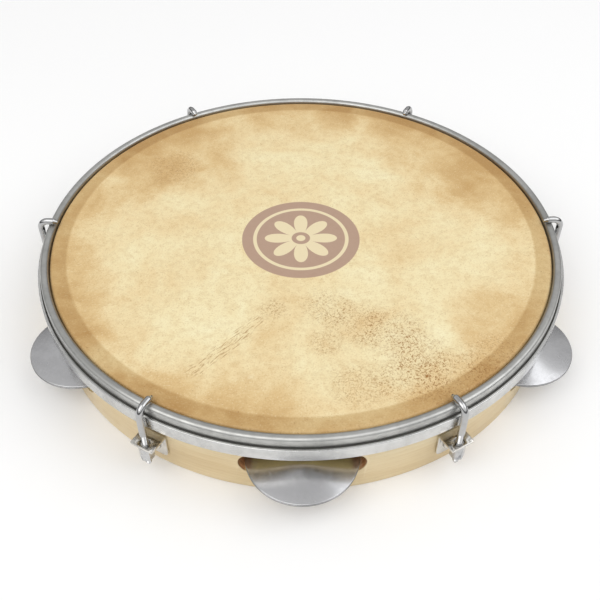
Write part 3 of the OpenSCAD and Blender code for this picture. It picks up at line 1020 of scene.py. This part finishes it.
def bracket_master():
    """The L-shaped bracket, bent from sheet, with its two holes."""
    low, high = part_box("bracket_right")
    foot, top = low.z, high.z
    line = [(LUG_FACE, foot), (LUG_FACE, foot + 6 * MM)]
    line += arc(LUG_FACE + LUG_BEND, top - LUG_BEND, LUG_BEND, 180, 90, 8)
    line += [(LUG_FACE + 6 * MM, top), (SHELF_END, top)]
    bracket = chain("bracket_master", [(x, -LUG_HALF, z) for x, z in line])
    bpy.ops.mesh.select_all(action="SELECT")
    pull((0, 2 * LUG_HALF, 0))
    tidy_mesh()
    pick(bracket, "VERT", lambda v: v.co.z < foot + 0.1 * MM)
    bpy.ops.mesh.bevel(offset=LUG_FOOT_ROUND, segments=8, affect="VERTICES")
    pick(bracket, "VERT", lambda v: v.co.x > SHELF_END - 0.1 * MM)
    bpy.ops.mesh.bevel(offset=SHELF_ROUND, segments=4, affect="VERTICES")
    pick(bracket, "FACE", lambda f: True)
    mesh = bmesh.from_edit_mesh(bracket.data)
    mesh.faces.ensure_lookup_table()
    flat = max(mesh.faces, key=lambda f: f.calc_center_median().x)
    if flat.normal.z < 0:
        bpy.ops.mesh.flip_normals()
    done()
    finish_with(bracket, "SOLIDIFY", thickness=LUG_T, offset=-1.0, use_even_offset=True)
    carve(bracket, rod_cutter(LUG_HOLE_D / 2, 10 * MM, (ROD_X, 0, top), sides=48))
    carve(bracket, rod_cutter(LUG_SCREW_HOLE_R, 10 * MM, (LUG_FACE, 0, SCREW_Z), rotation=(0, SIDEWAYS, 0)))
    ease_edges(bracket, 0.16 * MM)
    smooth(bracket)
    return bracket


def screw_master():
    """A pan-head cross screw lying along X, head outward, with a real thread at its end."""
    head_x = LUG_FACE + LUG_T
    r, h, s = SCREW_HEAD_D / 2, SCREW_HEAD_H, SCREW_D / 2
    length = head_x - (SHELL_RI - WASHER_T - SCREW_NUT_H - SCREW_SPARE)
    end, threaded = -length, 7.0 * MM
    dome = [(0.0, h), (1.0 * MM, h - 0.03 * MM), (1.7 * MM, h - 0.16 * MM), (2.25 * MM, h - 0.42 * MM),
            (2.65 * MM, h - 0.8 * MM), (r, h - 1.35 * MM), (r, 0.12 * MM), (r - 0.12 * MM, 0.0)]
    shank = [(s, 0.0), (s, end + threaded), (s * 0.86, end + 6.6 * MM), (s * 0.8, end + 0.3 * MM),
             (s * 0.6, end), (0.0, end)]
    screw = turned("screw_master", dome + shank, steps=40, closed=False)
    for turn in (0.0, math.pi / 2):
        clear_selection()
        bpy.ops.mesh.primitive_cube_add(size=1.0, location=(0, 0, h), rotation=(0, 0, turn),
                                        scale=(3.2 * MM, 0.7 * MM, 2.4 * MM))
        wing = begin("cutter")
        pick(wing, "VERT", lambda v: v.co.z < h)
        bpy.ops.transform.resize(value=(0.45, 0.45, 1.0), center_override=(0, 0, h - 1.2 * MM))
        done()
        carve(screw, wing)
    smooth(screw)
    ridge = thread("screw_thread", SCREW_D, SCREW_PITCH, end + 0.35 * MM, end + 6.85 * MM)
    whole = joined([screw, ridge], "screw_master")
    put_in_place(whole, tip=SIDEWAYS, place=(head_x, 0, SCREW_Z))
    return whole


def fastener_set(name, master, azimuths):
    """Copies of a small fastener round the drum, joined as one piece."""
    copies = []
    for a in azimuths:
        piece = copy_of(master, name)
        put_in_place(piece, turn=a)
        copies.append(piece)
    bpy.data.objects.remove(master)
    return joined(copies, name)


def make_fasteners(steel):
    """Screws, washers and nuts that hold the brackets."""
    azimuths = [azimuth_of("bracket_" + h) for h in HOOKS]
    screws = fastener_set("cross_screws", screw_master(), azimuths)
    hand_over(screws, "root", "bracket_screws", steel)
    face = SHELL_RI - 0.05 * MM
    ri, ro, t, e = WASHER_HOLE_R, WASHER_R, WASHER_T, WASHER_EDGE
    washer = turned("washer_master", [(ri, e), (ri + e, 0.0), (ro - e, 0.0), (ro, e), (ro, t - e),
                                      (ro - e, t), (ri + e, t), (ri, t - e)], steps=48)
    smooth(washer)
    put_in_place(washer, tip=SIDEWAYS, place=(face - t, 0, SCREW_Z))
    washers = fastener_set("flat_washers", washer, azimuths)
    hand_over(washers, "root", "bracket_washers", steel)
    nut = hexagon_nut("screw_nut_master", SCREW_NUT_AF, SCREW_NUT_H, SCREW_D + 0.04 * MM)
    put_in_place(nut, tip=SIDEWAYS, place=(face - t - SCREW_NUT_H, 0, SCREW_Z))
    nuts = fastener_set("screw_nuts", nut, azimuths)
    hand_over(nuts, "root", "bracket_screw_nuts", steel)


def make_hardware(chrome, zinc, nickel):
    """Six hooks, each with its nut and bracket."""
    hook, nut, bracket = hook_master(), nut_master(), bracket_master()
    for h in HOOKS:
        a = azimuth_of("hook_nut_" + h)
        for master, name, body, node, slot_name, material in (
                (hook, "claw_hook_", "hook_" + h, "hook_" + h, "hook_chrome", chrome),
                (nut, "long_nut_", "hook_nut_" + h, "hook_nut_" + h, "nut_steel", zinc),
                (bracket, "shell_bracket_", "root", "bracket_" + h, "bracket_nickel", nickel)):
            piece = copy_of(master, name + h)
            put_in_place(piece, turn=a)
            hand_over(piece, body, node, material)
    for master in (hook, nut, bracket):
        bpy.data.objects.remove(master)


def jingle_line():
    """The jingle's lower face from the hole to the rim: a flat crown that eases into a plain cone."""
    slope = JINGLE_RISE / (JINGLE_R - CROWN_R)
    line = [(JINGLE_HOLE_R, JINGLE_RISE)]
    blend_steps, cone_steps = 8, 6
    start, end = CROWN_R - CROWN_BLEND, CROWN_R + CROWN_BLEND
    for i in range(blend_steps + 1):
        r = start + (end - start) * i / blend_steps
        line.append((r, JINGLE_RISE - slope * (r - start) ** 2 / (4 * CROWN_BLEND)))
    for i in range(1, cone_steps + 1):
        r = end + (JINGLE_R - end) * i / cone_steps
        line.append((r, slope * (JINGLE_R - r)))
    return line


def jingle_master():
    """One dished jingle, its rim's lower face at z = 0, with rounded rim and hole."""
    line = jingle_line()
    upper = [(r, z + JINGLE_T) for r, z in reversed(line)]
    half = JINGLE_T / 2
    rim = arc(JINGLE_R - half, half, half, -60, 60, 4)
    hole = arc(JINGLE_HOLE_R + half, line[0][1] + half, half, 120, 240, 4)
    line[-1] = (JINGLE_R - half, 0.0)
    upper[0] = (JINGLE_R - half, JINGLE_T)
    line[0] = (JINGLE_HOLE_R + half, line[0][1])
    upper[-1] = (JINGLE_HOLE_R + half, line[0][1] + JINGLE_T)
    jingle = turned("jingle_master", line + rim + upper + hole, steps=160)
    smooth(jingle, 50.0)
    from_pin = jingle.data.attributes.new("from_pin", "FLOAT_VECTOR", "POINT")
    from_pin.data.foreach_set("vector", [c for v in jingle.data.vertices for c in v.co])
    return jingle


def make_jingles(steel, wire):
    """Five pairs of jingles, the lower one of each pair turned over, on their pins."""
    jingle = jingle_master()
    for j in JINGLES:
        pin = middle_of("jingle_pin_" + j)
        a = azimuth_of("jingle_pin_" + j)
        upper = copy_of(jingle, "top_jingle_" + j)
        put_in_place(upper, turn=a, place=(pin.x, pin.y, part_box("upper_jingle_" + j)[0].z))
        hand_over(upper, "upper_jingle_" + j, "upper_jingle_" + j, steel)
        lower = copy_of(jingle, "bottom_jingle_" + j)
        put_in_place(lower, turn=a, tip=math.pi, place=(pin.x, pin.y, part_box("lower_jingle_" + j)[1].z))
        hand_over(lower, "lower_jingle_" + j, "lower_jingle_" + j, steel)
    bpy.data.objects.remove(jingle)
    low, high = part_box("jingle_pin_front")
    r, e = PIN_R, PIN_EDGE
    profile = [(0.0, low.z), (r - e, low.z), (r, low.z + e),
               (r, high.z - e), (r - e, high.z), (0.0, high.z)]
    master = turned("pin_master", profile, steps=32, closed=False)
    smooth(master)
    for j in JINGLES:
        pin = middle_of("jingle_pin_" + j)
        piece = copy_of(master, "jingle_wire_" + j)
        put_in_place(piece, place=(pin.x, pin.y, 0.0))
        hand_over(piece, "root", "jingle_pin_" + j, wire)
    bpy.data.objects.remove(master)


def make_floor():
    """A plain pale floor just under the drum."""
    clear_selection()
    bpy.ops.mesh.primitive_plane_add(size=12.0, location=(0, 0, -0.0002))
    floor = begin("floor")
    done()
    floor.data.materials.append(floor_paper())


# ---------------- the scene
make_camera()
make_world()
make_light("key", (-0.9, -1.0, 1.9), 1.9, 14.0, (1.0, 0.99, 0.97))
make_light("fill", (1.3, -0.2, 1.6), 1.6, 9.0, (0.97, 0.98, 1.0))
make_floor()
bpy.context.scene.view_settings.view_transform = "Standard"

around = group_around_drum()
groups = {"around": around, "handled": group_handled(), "wear": group_edge_wear(),
          "turned": group_turned_lines(around)}

make_shell(shell_wood(groups))
make_hoops(metal(groups, "satin_aluminium", (0.70, 0.70, 0.69), 0.20, 0.30, 30.0, 0.10),
           metal(groups, "satin_nickel", (0.57, 0.57, 0.55), 0.36, 0.46, 30.0, 0.12),
           resin_matt(groups))
make_film(head_film(groups))
make_hardware(metal(groups, "hook_chrome", (0.50, 0.50, 0.50), 0.03, 0.10, 120.0, dull=0.06),
              metal(groups, "zinc_nut", (0.60, 0.60, 0.60), 0.22, 0.36, 150.0),
              metal(groups, "bracket_nickel", (0.72, 0.70, 0.66), 0.08, 0.18, 130.0))
make_fasteners(metal(groups, "bright_zinc", (0.70, 0.69, 0.66), 0.12, 0.25, 200.0))
make_jingles(jingle_metal(groups), metal(groups, "drawn_wire", (0.62, 0.62, 0.62), 0.2, 0.3, 150.0))

clear_selection()
